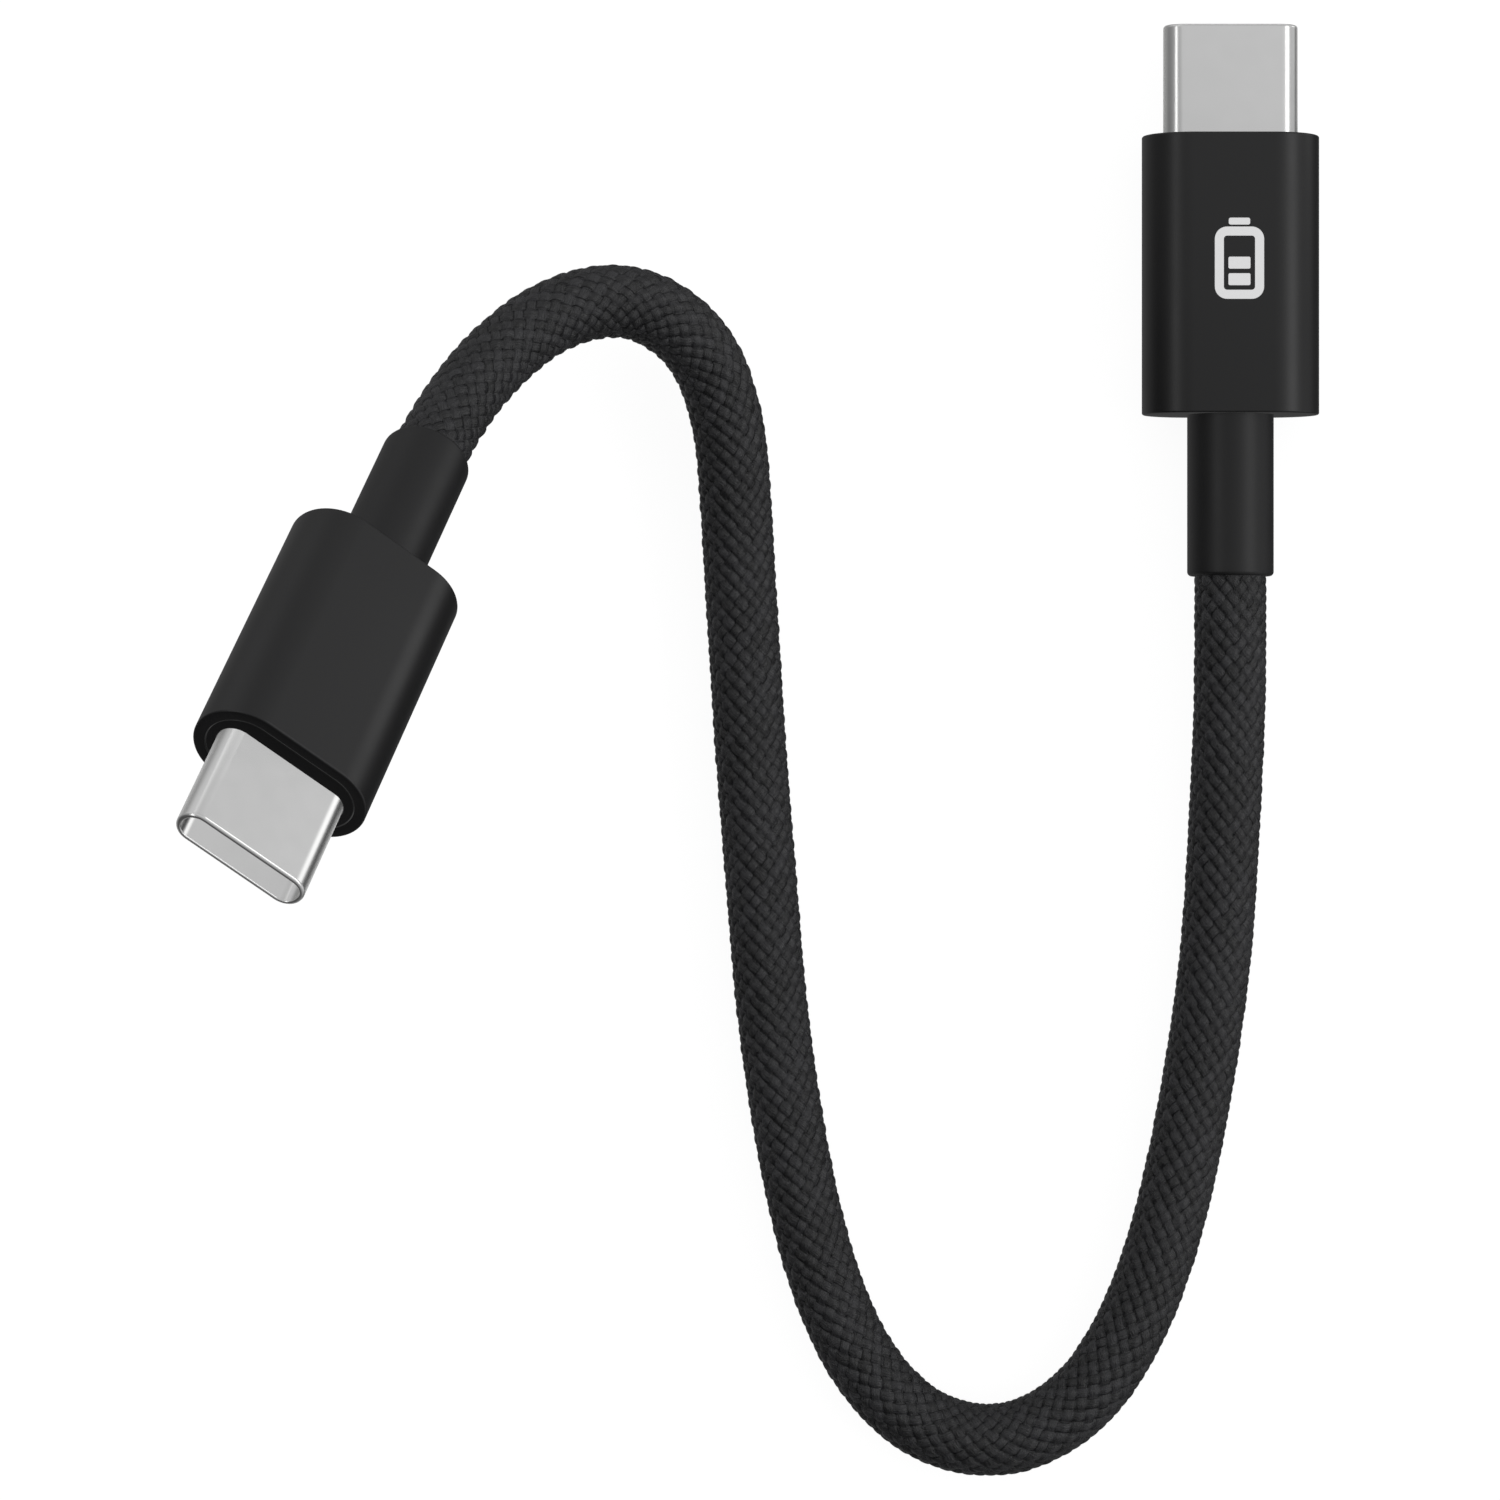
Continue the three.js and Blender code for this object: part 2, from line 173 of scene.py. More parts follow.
# grey of the tent for each product of a direction and its bright side
TENT_BRIGHT_SIDE = Vector((0.6, 0.6, 0))
TENT_BLUE = 1.01
TENT_GREYS = [
    (-0.75, 0.06),
    (-0.55, 0.14),
    (-0.4, 0.30),
    (-0.12, 0.34),
    (0.1, 0.58),
    (0.35, 0.58),
    (0.6, 0.42),
    (0.85, 0.55),
]
# below the horizon the tent fades to an underside, which is darker on the right
UNDERSIDE_STARTS = -0.1
UNDERSIDE_FULL = -0.6
UNDERSIDE_LEFT = 0.3
UNDERSIDE_RIGHT = 0.04
UNDERSIDE_REACH = 0.9
# a bright card low on the right, as the cosine of the angle from its middle to its soft edge
LOW_PANEL = Vector((0.870, 0.440, -0.223))
LOW_PANEL_EDGE = 0.955
LOW_PANEL_FULL = 0.995
LOW_PANEL_GREY = 1.25
world = bpy.data.worlds.new("studio tent")
bpy.context.scene.world = world
world.use_nodes = True
tree = world.node_tree
tree.nodes.clear()
direction = node(tree, "ShaderNodeTexCoord")
along = node(
    tree,
    "ShaderNodeVectorMath",
    {"operation": "DOT_PRODUCT"},
    {1: TENT_BRIGHT_SIDE},
    {0: (direction, "Generated")},
)
zero_to_one = node(
    tree, "ShaderNodeMath", {"operation": "MULTIPLY_ADD"}, {1: 0.5, 2: 0.5}, {0: (along, "Value")}
)
tent = node(tree, "ShaderNodeValToRGB", links={"Fac": (zero_to_one, 0)})
stops = tent.color_ramp.elements
for place, grey in TENT_GREYS:
    stop = stops.new(0.5 + place / 2)
    stop.color = (grey, grey, grey * TENT_BLUE, 1)
stops.remove(stops[0])
stops.remove(stops[-1])
height = node(tree, "ShaderNodeSeparateXYZ", links={0: (direction, "Generated")})
below = node(
    tree,
    "ShaderNodeMapRange",
    {"interpolation_type": "SMOOTHSTEP"},
    {"From Min": UNDERSIDE_STARTS, "From Max": UNDERSIDE_FULL},
    {"Value": (height, "Z")},
)
underside = node(
    tree,
    "ShaderNodeMapRange",
    inputs={
        "From Min": -UNDERSIDE_REACH,
        "From Max": UNDERSIDE_REACH,
        "To Min": UNDERSIDE_LEFT,
        "To Max": UNDERSIDE_RIGHT,
    },
    links={"Value": (height, "X")},
)
# of a colour Mix node, input 0 is the factor, 6 and 7 are the two colours, and output 2 the result
around = node(
    tree,
    "ShaderNodeMix",
    {"data_type": "RGBA"},
    links={0: (below, 0), 6: (tent, 0), 7: (underside, 0)},
)
towards_panel = node(
    tree,
    "ShaderNodeVectorMath",
    {"operation": "DOT_PRODUCT"},
    {1: LOW_PANEL},
    {0: (direction, "Generated")},
)
panel = node(
    tree,
    "ShaderNodeMapRange",
    {"interpolation_type": "SMOOTHSTEP"},
    {"From Min": LOW_PANEL_EDGE, "From Max": LOW_PANEL_FULL},
    {"Value": (towards_panel, "Value")},
)
lit = node(
    tree,
    "ShaderNodeMix",
    {"data_type": "RGBA"},
    {7: (LOW_PANEL_GREY, LOW_PANEL_GREY, LOW_PANEL_GREY, 1)},
    {0: (panel, 0), 6: (around, 2)},
)
background = node(tree, "ShaderNodeBackground", links={"Color": (lit, 2)})
node(tree, "ShaderNodeOutputWorld", links={"Surface": (background, 0)})


# ---------------------------------------------------------------------------------------------
# Woven cord. A tube of 28 black polyester yarns, braided one over, one under round the inner
# jacket. It leaves plug A's strain relief, lies on the table in a loop, and springs up to plug B.
# ---------------------------------------------------------------------------------------------
HOUSING_LENGTH = 17.1
RELIEF_LENGTH = 9.9
FLEX_Y = -HOUSING_LENGTH - RELIEF_LENGTH / 2
REAR_END = -HOUSING_LENGTH - RELIEF_LENGTH
CORD_RADIUS = 2.2
CORD_GRIP = 2.5
# the period is between crossings in a line along the cord, and the half width in yarn spacings
YARNS_EACH_WAY = 14
WEAVE_PERIOD = 1.11
STEPS_PER_CROSSING = 10
YARN_THICKNESS = 0.2
YARN_HALF_WIDTH = 0.49
YARN_CROWN_POWER = 2.4
YARN_RISE = 0.1
YARN_LIFT = 0.018
YARN_TOP = 0.03
YARN_SEED = 7
# the difference in height of two yarns within which painted shade is laid along the line where they meet
GROOVE_SHADE_EDGE = 0.08
SPAN_SAMPLES = 24
CURVE_STEP = 0.25
EASING_PASSES = 50
# the middle of the cord from one strain relief to the other
ROUTE = [
    (0, -21.2, 2.96),
    (-0.03, -26.1, 2.75),
    (-0.2, -31.1, 2.45),
    (-0.45, -36.1, 2.28),
    (-0.8, -41.1, 2.25),
    (-1.4, -46.1, 2.25),
    (-2.2, -51, 2.25),
    (-3.2, -55.9, 2.25),
    (-4.5, -60.7, 2.25),
    (-6.4, -65.3, 2.25),
    (-9.3, -69.3, 2.25),
    (-13.7, -71.6, 2.25),
    (-18.5, -70.8, 2.25),
    (-22.1, -67.5, 2.25),
    (-24.4, -63.1, 2.25),
    (-25.9, -58.3, 2.25),
    (-26.9, -53.5, 2.25),
    (-27.7, -48.5, 2.25),
    (-28.3, -43.6, 2.25),
    (-28.7, -38.6, 2.25),
    (-29.1, -33.6, 2.25),
    (-29.5, -28.6, 2.25),
    (-29.8, -23.6, 2.25),
    (-30.1, -18.7, 2.4),
    (-30.4, -13.7, 2.9),
    (-30.9, -8.85, 3.8),
    (-32.7, -4.33, 5.2),
    (-36.6, -1.88, 7),
    (-40.9, -2.68, 9.25),
    (-44.3, -5.3, 11.9),
    (-46.8, -8.6, 14.9),
]


def plug_frame(plug):
    """The plug's own axes as a matrix: x its width, y out of its mouth, z its thickness."""
    mounts = {mount["name"]: mount for mount in frame["record"]["mounts"]}
    joints = {joint["name"]: joint for joint in frame["joints"]}
    y = Vector(mounts[f"{plug}_front_face"]["axis"]).normalized()
    z = Vector(mounts[f"{plug}_upper_face"]["axis"]).normalized()
    place = Matrix((y.cross(z), y, z)).transposed().to_4x4()
    place.translation = Vector(joints[f"{plug}_flex"]["pos_m"]) - y * FLEX_Y * MM
    return place


PLUGS = {plug: plug_frame(plug) for plug in ("plug_a", "plug_b")}


def on_axis(plug, y):
    """The point on a plug's own y axis, in metres."""
    return PLUGS[plug] @ Vector((0, y * MM, 0))


def catmull_rom(points, samples):
    """A centripetal curve through the points, with that many samples in each span."""
    ends = [2 * points[0] - points[1], *points, 2 * points[-1] - points[-2]]
    line = []
    for p0, p1, p2, p3 in zip(ends, ends[1:], ends[2:], ends[3:]):
        t1 = np.linalg.norm(p1 - p0) ** 0.5
        t2 = t1 + np.linalg.norm(p2 - p1) ** 0.5
        t3 = t2 + np.linalg.norm(p3 - p2) ** 0.5
        for t in np.linspace(t1, t2, samples, endpoint=False):
            a1 = (t1 - t) / t1 * p0 + t / t1 * p1
            a2 = (t2 - t) / (t2 - t1) * p1 + (t - t1) / (t2 - t1) * p2
            a3 = (t3 - t) / (t3 - t2) * p2 + (t - t2) / (t3 - t2) * p3
            b1 = (t2 - t) / t2 * a1 + t / t2 * a2
            b2 = (t3 - t) / (t3 - t1) * a2 + (t - t1) / (t3 - t1) * a3
            line.append((t2 - t) / (t2 - t1) * b1 + (t - t1) / (t2 - t1) * b2)
    return np.array([*line, points[-1]])


def evenly(line, spacing):
    """The line resampled to an even number of points at an even spacing, and its length."""
    along = np.r_[0, np.cumsum(np.linalg.norm(np.diff(line, axis=0), axis=1))]
    places = np.linspace(0, along[-1], 2 * round(along[-1] / spacing / 2))
    return np.stack([np.interp(places, along, line[:, k]) for k in range(3)], 1), along[-1]


def eased(line, passes):
    """The line with its curvature evened out. Both ends stay where they are."""
    for _ in range(passes):
        line[2:-2] = 0.25 * line[1:-3] + 0.5 * line[2:-2] + 0.25 * line[3:-1]
    return line


def carried_frames(line):
    """Two directions across the line at each point, carried along it with no twist."""
    tangent = np.gradient(line, axis=0)
    tangent /= np.linalg.norm(tangent, axis=1)[:, None]
    side = np.zeros_like(line)
    side[0] = np.cross(tangent[0], (0, 0, 1))
    side[0] /= np.linalg.norm(side[0])
    for i in range(1, len(line)):
        carried = side[i - 1] - tangent[i] * np.dot(side[i - 1], tangent[i])
        side[i] = carried / np.linalg.norm(carried)
    return side, np.cross(side, tangent)


starts = [np.array(on_axis("plug_a", y)) for y in (REAR_END + CORD_GRIP, REAR_END)]
stops = [np.array(on_axis("plug_b", y)) for y in (REAR_END, REAR_END + CORD_GRIP)]
route = starts + [np.array(point) * MM for point in ROUTE] + stops
rough_line, _ = evenly(catmull_rom(route, SPAN_SAMPLES), CURVE_STEP * MM)
cord_line, cord_length = evenly(
    eased(rough_line, EASING_PASSES), WEAVE_PERIOD / STEPS_PER_CROSSING / 2 * MM
)


def woven_sleeve(name, line):
    """A tube of interlaced yarns. Its grid runs along the yarns, so that each crossing is a pillow."""
    yarns, steps = YARNS_EACH_WAY, STEPS_PER_CROSSING
    chance = np.random.default_rng(YARN_SEED)
    lift = chance.uniform(-YARN_LIFT, YARN_LIFT, (2, yarns))

    def crown(across):
        """Height of a yarn's rounded section, across it from its middle in yarn widths."""
        fallen = (np.abs(across) / YARN_HALF_WIDTH) ** YARN_CROWN_POWER
        return YARN_THICKNESS * np.sqrt(np.clip(1 - fallen, 0, 1))

    def pillows(a, b):
        """Height below the tallest pillow, the weight of painted shade along the grooves, which set is
        on top, and both yarns.
        """
        i, j = np.floor(a + 0.5).astype(int), np.floor(b + 0.5).astype(int)
        first = crown(a - i) + YARN_RISE * np.cos(np.pi * (b + i)) + lift[0][i % yarns]
        second = crown(b - j) - YARN_RISE * np.cos(np.pi * (a + j)) + lift[1][j % yarns]
        height = np.maximum(first, second) - YARN_THICKNESS - YARN_RISE
        # how strongly painted shade is laid where the two yarns meet
        groove_shade = np.clip(1 - np.abs(first - second) / GROOVE_SHADE_EDGE, 0, 1)
        return height, groove_shade, first > second, i % yarns, j % yarns

    side, up = carried_frames(line)
    rows, columns = len(line), yarns * steps
    row, column = np.meshgrid(np.arange(rows), np.arange(columns), indexing="ij")
    turn = 2 * column + row % 2
    height, groove_shade, _, _, _ = pillows((row + turn) / (2 * steps), (row - turn) / (2 * steps))
    radius = (CORD_RADIUS + YARN_TOP + height) * MM
    angle = np.pi * turn / columns
    points = (
        line[:, None, :]
        + side[:, None, :] * (radius * np.cos(angle))[..., None]
        + up[:, None, :] * (radius * np.sin(angle))[..., None]
    )

    # every other row is turned by half a step, so the faces are diamonds over three rows
    cells = np.meshgrid(np.arange(rows - 2), np.arange(columns), indexing="ij")
    r, k = (grid.ravel() for grid in cells)
    odd = r % 2
    right = (r + 1) * columns + (k + odd) % columns
    left = (r + 1) * columns + (k + odd - 1) % columns
    faces = np.stack([r * columns + k, right, (r + 2) * columns + k, left], 1).tolist()
    ring = np.arange(columns)
    for low in (0, rows - 2):
        zigzag = np.stack([low * columns + ring, (low + 1) * columns + ring], 1).ravel().tolist()
        faces.append(zigzag[::-1] if low == 0 else zigzag)
    made = mesh_object(name, points.reshape(-1, 3).tolist(), faces)

    # each face lies on one yarn, and its UV runs along and across that yarn
    c = 2 * k + odd
    corner_row = np.stack([r, r + 1, r + 2, r + 1], 1)
    corner_turn = np.stack([c, c + 1, c, c - 1], 1)
    a = (corner_row + corner_turn) / (2 * steps)
    b = (corner_row - corner_turn) / (2 * steps)
    _, _, on_top, i, j = pillows((r + 1 + c) / (2 * steps), (r + 1 - c) / (2 * steps))
    lengthwise = np.where(on_top[:, None], b, a)
    crosswise = np.where(on_top[:, None], a, b)
    tones = chance.random((2, yarns))
    tone = np.where(on_top, tones[0][i], tones[1][j])
    # the two end caps have two corners to each column, and they aren't seen
    cap_corners = 2 * 2 * columns
    on_yarns = np.stack([lengthwise, crosswise], 2).ravel()
    uv = made.data.uv_layers.new(name="yarn")
    uv.data.foreach_set("uv", np.r_[on_yarns, np.zeros(2 * cap_corners)])
    layer = made.data.attributes.new("yarn_tone", "FLOAT", "FACE")
    layer.data.foreach_set("value", np.r_[tone, 0, 0].astype(np.float32))
    # the weight of the painted shade at each point, which the yarn material reads
    layer = made.data.attributes.new("groove_shade", "FLOAT", "POINT")
    layer.data.foreach_set("value", groove_shade.ravel().astype(np.float32))
    return made


cord = woven_sleeve("woven_cord", cord_line)

# polyester multifilament yarn, dyed black: fine filaments along each yarn with a soft sheen, and
# slightly different greys from yarn to yarn. Real filaments are about 0.02 mm thick and too fine to
# show, so 9 are drawn across each yarn. Loose fibres are drawn about 0.15 mm apart.
FILAMENTS_ACROSS = 9
YARN_STRETCH = 1.8
FUZZ_PER_MM = 6.5
FUZZ_SHARE = 0.6
TONE_SHARE = 0.35
FILAMENT_HEIGHT = 0.06
dyed_polyester, tree = new_material("dyed polyester yarn")
uv = node(tree, "ShaderNodeUVMap", {"uv_map": "yarn"})
drawn = node(
    tree,
    "ShaderNodeMapping",
    inputs={"Scale": (YARN_STRETCH, FILAMENTS_ACROSS, 1)},
    links={"Vector": (uv, 0)},
)
filaments = node(
    tree,
    "ShaderNodeTexNoise",
    {"noise_dimensions": "2D"},
    {"Scale": 1.0, "Detail": 3.0, "Roughness": 0.6},
    {"Vector": (drawn, 0)},
)
space = node(tree, "ShaderNodeTexCoord")
fuzz = node(
    tree,
    "ShaderNodeTexNoise",
    inputs={"Scale": FUZZ_PER_MM / MM, "Detail": 2.0},
    links={"Vector": (space, "Object")},
)
tone = node(tree, "ShaderNodeAttribute", {"attribute_name": "yarn_tone", "attribute_type": "GEOMETRY"})
mixed_tone = node(
    tree,
    "ShaderNodeMath",
    {"operation": "MULTIPLY_ADD"},
    {1: TONE_SHARE},
    {0: (tone, "Fac"), 2: (filaments, "Fac")},
)
shade = node(tree, "ShaderNodeValToRGB", links={"Fac": (mixed_tone, 0)})
shade.color_ramp.elements[0].position = 0.4
shade.color_ramp.elements[0].color = linear("#080809")
shade.color_ramp.elements[1].position = 1.0
shade.color_ramp.elements[1].color = linear("#303033")
rough_height = node(
    tree,
    "ShaderNodeMath",
    {"operation": "MULTIPLY_ADD"},
    {1: FUZZ_SHARE},
    {0: (fuzz, "Fac"), 2: (filaments, "Fac")},
)
fibre_bump = node(
    tree,
    "ShaderNodeBump",
    inputs={"Strength": 0.9, "Distance": FILAMENT_HEIGHT * MM},
    links={"Height": (rough_height, 0)},
)
gloss = node(
    tree,
    "ShaderNodeMapRange",
    inputs={"To Min": 0.2, "To Max": 0.38},
    links={"Value": (filaments, "Fac")},
)
lie = node(tree, "ShaderNodeTangent", {"direction_type": "UV_MAP", "uv_map": "yarn"})
fibre = node(
    tree,
    "ShaderNodeBsdfPrincipled",
    inputs={"IOR": 1.54, "Anisotropic": 0.7, "Anisotropic Rotation": 0.25},
    links={
        "Base Color": (shade, "Color"),
        "Roughness": (gloss, 0),
        "Normal": (fibre_bump, 0),
        "Tangent": (lie, 0),
    },
)
# painted shade: where two yarns meet, a dark matte shader is mixed in over the fibres as a painted
# shadow, so they lose their sheen there
painted_groove_shadow = node(tree, "ShaderNodeBsdfDiffuse", inputs={"Color": linear("#08080a")})
groove_shade = node(tree, "ShaderNodeAttribute", {"attribute_name": "groove_shade", "attribute_type": "GEOMETRY"})
groove_shade_weight = node(
    tree,
    "ShaderNodeMapRange",
    {"interpolation_type": "SMOOTHSTEP"},
    {"From Max": 0.8, "To Max": 0.85},
    {"Value": (groove_shade, "Fac")},
)
yarns = node(tree, "ShaderNodeMixShader", links={0: (groove_shade_weight, 0), 1: (fibre, 0), 2: (painted_groove_shadow, 0)})
node(tree, "ShaderNodeOutputMaterial", links={"Surface": (yarns, 0)})
cord.data.materials.append(dyed_polyester)

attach(cord, "cord")
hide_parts("cord_sleeve")


# ---------------------------------------------------------------------------------------------
# Strain reliefs. Smooth elastomer sleeves moulded over the jacket behind each housing, with a
# rounded mouth where the woven cord comes out.
# ---------------------------------------------------------------------------------------------
RELIEF_RADIUS = 2.65
RELIEF_OUTER_EDGE = 0.26
RELIEF_INNER_EDGE = 0.08
RELIEF_RIM = 0.6
RELIEF_BORE = 2.3
CORE_BORE = 1.8
BORE_STEP = 2.8
HOUSING_REAR_WALL = 0.9
REAR_WALL_GAP = 0.05
FLANGE = (7.0, 4.3, 2.15)
FLANGE_LENGTH = 1.0
FLANGE_EDGE = 0.15
BEND_RINGS = 28
ARC_POINTS = 20
EDGE_STEPS = 5
JOIN_DISTANCE = 1e-4
SHARP_ANGLE = 35


def ring(outline, inset, y):
    """Points round a rounded rectangle (width, height, corner radius) drawn in by inset, at y."""
    width, height = outline[0] / 2 - inset, outline[1] / 2 - inset
    radius = max(outline[2] - inset, 0)
    points = []
    for quarter, (sx, sz) in enumerate(((1, 1), (-1, 1), (-1, -1), (1, -1))):
        for angle in np.linspace(quarter, quarter + 1, ARC_POINTS + 1) * math.pi / 2:
            x = sx * (width - radius) + radius * math.cos(angle)
            z = sz * (height - radius) + radius * math.sin(angle)
            points.append((x, y, z))
    return points


def rounded(corners, steps=EDGE_STEPS):
    """A closed line through the corners (inset, y, corner radius), turned on those radii."""
    line = []
    befores, afters = corners[-1:] + corners, corners[1:] + corners[:1]
    for before, (inset, y, radius), after in zip(befores, corners, afters):
        corner = np.array((inset, y))
        if not radius:
            line.append(tuple(corner))
            continue
        back = np.array(before[:2]) - corner
        on = np.array(after[:2]) - corner
        back, on = back / np.linalg.norm(back), on / np.linalg.norm(on)
        half = math.acos(np.clip(back @ on, -1, 1)) / 2
        centre = corner + (back + on) / np.linalg.norm(back + on) * radius / math.sin(half)
        first, last = (corner + way * radius / math.tan(half) for way in (back, on))
        for part in np.linspace(0, 1, steps + 1):
            spoke = first + (last - first) * part - centre
            line.append(tuple(centre + spoke / np.linalg.norm(spoke) * radius))
    return line


def clean_up(made):
    """Joins points that coincide, turns the faces outwards and keeps the edges crisp."""
    shape = bmesh.new()
    shape.from_mesh(made.data)
    bmesh.ops.remove_doubles(shape, verts=shape.verts, dist=JOIN_DISTANCE * MM)
    bmesh.ops.recalc_face_normals(shape, faces=shape.faces)
    shape.to_mesh(made.data)
    shape.free()
    made.data.set_sharp_from_angle(angle=math.radians(SHARP_ANGLE))


def lofted(name, plug, rings):
    """A closed body in a plug's place, over rings (outline, inset, y) whose last meets its first."""
    skins = [ring(*one) for one in rings]
    count = len(skins[0])
    points = [tuple(PLUGS[plug] @ (Vector(point) * MM)) for skin in skins for point in skin]
    faces = [
        (r * count + k, r * count + (k + 1) % count, q * count + (k + 1) % count, q * count + k)
        for r, q in zip(range(len(skins)), [*range(1, len(skins)), 0])
        for k in range(count)
    ]
    made = mesh_object(name, points, faces)
    clean_up(made)
    return made


# black elastomer (TPE): satin, with the faint grain of a bead-blasted mould, drawn about 0.11 mm
# across, and flow patches 2 to 3 mm across that change the gloss a little
GRAIN_PER_MM = 9
SMEAR_PER_MM = 0.42
black_elastomer, tree = new_material("black elastomer")
space = node(tree, "ShaderNodeTexCoord")
grain = node(
    tree,
    "ShaderNodeTexNoise",
    inputs={"Scale": GRAIN_PER_MM / MM, "Detail": 2.0},
    links={"Vector": (space, "Object")},
)
smear = node(
    tree,
    "ShaderNodeTexNoise",
    inputs={"Scale": SMEAR_PER_MM / MM, "Detail": 3.0},
    links={"Vector": (space, "Object")},
)
gloss = node(
    tree,
    "ShaderNodeMapRange",
    inputs={"To Min": 0.4, "To Max": 0.5},
    links={"Value": (smear, "Fac")},
)
shade = node(tree, "ShaderNodeValToRGB", links={"Fac": (smear, "Fac")})
shade.color_ramp.elements[0].color = linear("#0d0d0e")
shade.color_ramp.elements[1].color = linear("#121213")
grain_bump = node(
    tree,
    "ShaderNodeBump",
    inputs={"Strength": 0.25, "Distance": 0.004 * MM},
    links={"Height": (grain, "Fac")},
)
skin = node(
    tree,
    "ShaderNodeBsdfPrincipled",
    inputs={"IOR": 1.5},
    links={"Base Color": (shade, "Color"), "Roughness": (gloss, 0), "Normal": (grain_bump, 0)},
)
node(tree, "ShaderNodeOutputMaterial", links={"Surface": (skin, 0)})

SLEEVE = (2 * RELIEF_RADIUS, 2 * RELIEF_RADIUS, RELIEF_RADIUS)
flange_rear = -HOUSING_LENGTH + HOUSING_REAR_WALL + REAR_WALL_GAP
flange_front = flange_rear + FLANGE_LENGTH
for plug in PLUGS:
    mouth = rounded(
        [
            (RELIEF_RADIUS - CORE_BORE, REAR_END + BORE_STEP, 0),
            (RELIEF_RADIUS - RELIEF_BORE, REAR_END + BORE_STEP, 0),
            (RELIEF_RADIUS - RELIEF_BORE, REAR_END, RELIEF_INNER_EDGE),
            (0, REAR_END, RELIEF_OUTER_EDGE),
            (0, flange_rear, 0),
        ]
    )
    # close rings along the outside and the bore, dense enough that both could bend smoothly
    outside = np.linspace(REAR_END + RELIEF_RIM, flange_rear, BEND_RINGS)
    bore = np.linspace(flange_front, REAR_END + BORE_STEP, BEND_RINGS)
    rings = [(SLEEVE, inset, y) for inset, y in mouth[:-1]]
    rings += [(SLEEVE, 0, y) for y in outside]
    rings += [
        (FLANGE, FLANGE_EDGE, flange_rear),
        (FLANGE, 0, flange_rear + FLANGE_EDGE),
        (FLANGE, 0, flange_front - FLANGE_EDGE),
        (FLANGE, FLANGE_EDGE, flange_front),
    ]
    rings += [(SLEEVE, RELIEF_RADIUS - CORE_BORE, y) for y in bore[:-1]]
    relief = lofted(f"{plug}_relief_sleeve", plug, rings)
    relief.data.materials.append(black_elastomer)
    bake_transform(relief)
    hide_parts(f"{plug}_strain_relief")


# ---------------------------------------------------------------------------------------------
# Contact blocks. The liquid-crystal-polymer mouldings inside each metal tip, with the slot that
# takes the socket's tongue. They sit back from the tip's mouth.
# ---------------------------------------------------------------------------------------------
BLOCK = (7.45, 1.6, 0.7)
SLOT = (6.9, 1.1, 0.2)
BLOCK_FRONT = 4.9
BLOCK_REAR = -6.4
BLOCK_EDGE = 0.12

# natural liquid-crystal polymer: ivory white and matte, with the short flow marks of its fibres,
# drawn about 0.4 mm long
FLOW_PER_MM = 2.6
natural_lcp, tree = new_material("natural liquid-crystal polymer")
space = node(tree, "ShaderNodeTexCoord")
flow = node(
    tree,
    "ShaderNodeTexNoise",
    inputs={"Scale": FLOW_PER_MM / MM, "Detail": 4.0, "Distortion": 1.5},
    links={"Vector": (space, "Object")},
)
shade = node(tree, "ShaderNodeValToRGB", links={"Fac": (flow, "Fac")})
shade.color_ramp.elements[0].color = linear("#dedcd6")
shade.color_ramp.elements[1].color = linear("#efede8")
gloss = node(
    tree,
    "ShaderNodeMapRange",
    inputs={"To Min": 0.5, "To Max": 0.7},
    links={"Value": (flow, "Fac")},
)
flow_bump = node(
    tree,
    "ShaderNodeBump",
    inputs={"Strength": 0.3, "Distance": 0.01 * MM},
    links={"Height": (flow, "Fac")},
)
skin = node(
    tree,
    "ShaderNodeBsdfPrincipled",
    inputs={"IOR": 1.6},
    links={"Base Color": (shade, "Color"), "Roughness": (gloss, 0), "Normal": (flow_bump, 0)},
)
node(tree, "ShaderNodeOutputMaterial", links={"Surface": (skin, 0)})


def front_rounded(rear, front, edge):
    """The outer side of a body from its plain rear edge to its front edge, rounded by edge."""
    return rounded([(1, rear, 0), (0, rear, 0), (0, front, edge), (1, front, 0)])[1:-1]


for plug in PLUGS:
    outside = front_rounded(BLOCK_REAR, BLOCK_FRONT, BLOCK_EDGE)
    slot = [
        (SLOT, -BLOCK_EDGE / 2, BLOCK_FRONT),
        (SLOT, 0, BLOCK_FRONT - BLOCK_EDGE / 2),
        (SLOT, 0, BLOCK_REAR),
    ]
    block = lofted(f"{plug}_contact_block", plug, [(BLOCK, inset, y) for inset, y in outside] + slot)
    block.data.materials.append(natural_lcp)
    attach(block, plug)
    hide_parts(f"{plug}_insulator")


# ---------------------------------------------------------------------------------------------
# Metal tips. Deep-drawn steel shells with nickel plate, 8.25 by 2.40 mm, with the lip at the mouth
# rolled in and polished round.
# ---------------------------------------------------------------------------------------------
TIP = (8.25, 2.4, 1.15)
TIP_WALL = 0.3
TIP_FRONT = 6.8
TIP_REAR = -7.6
TIP_LIP = 0.2
TIP_INNER_LIP = 0.09
TIP_REAR_EDGE = 0.05
LIP_STEPS = 8

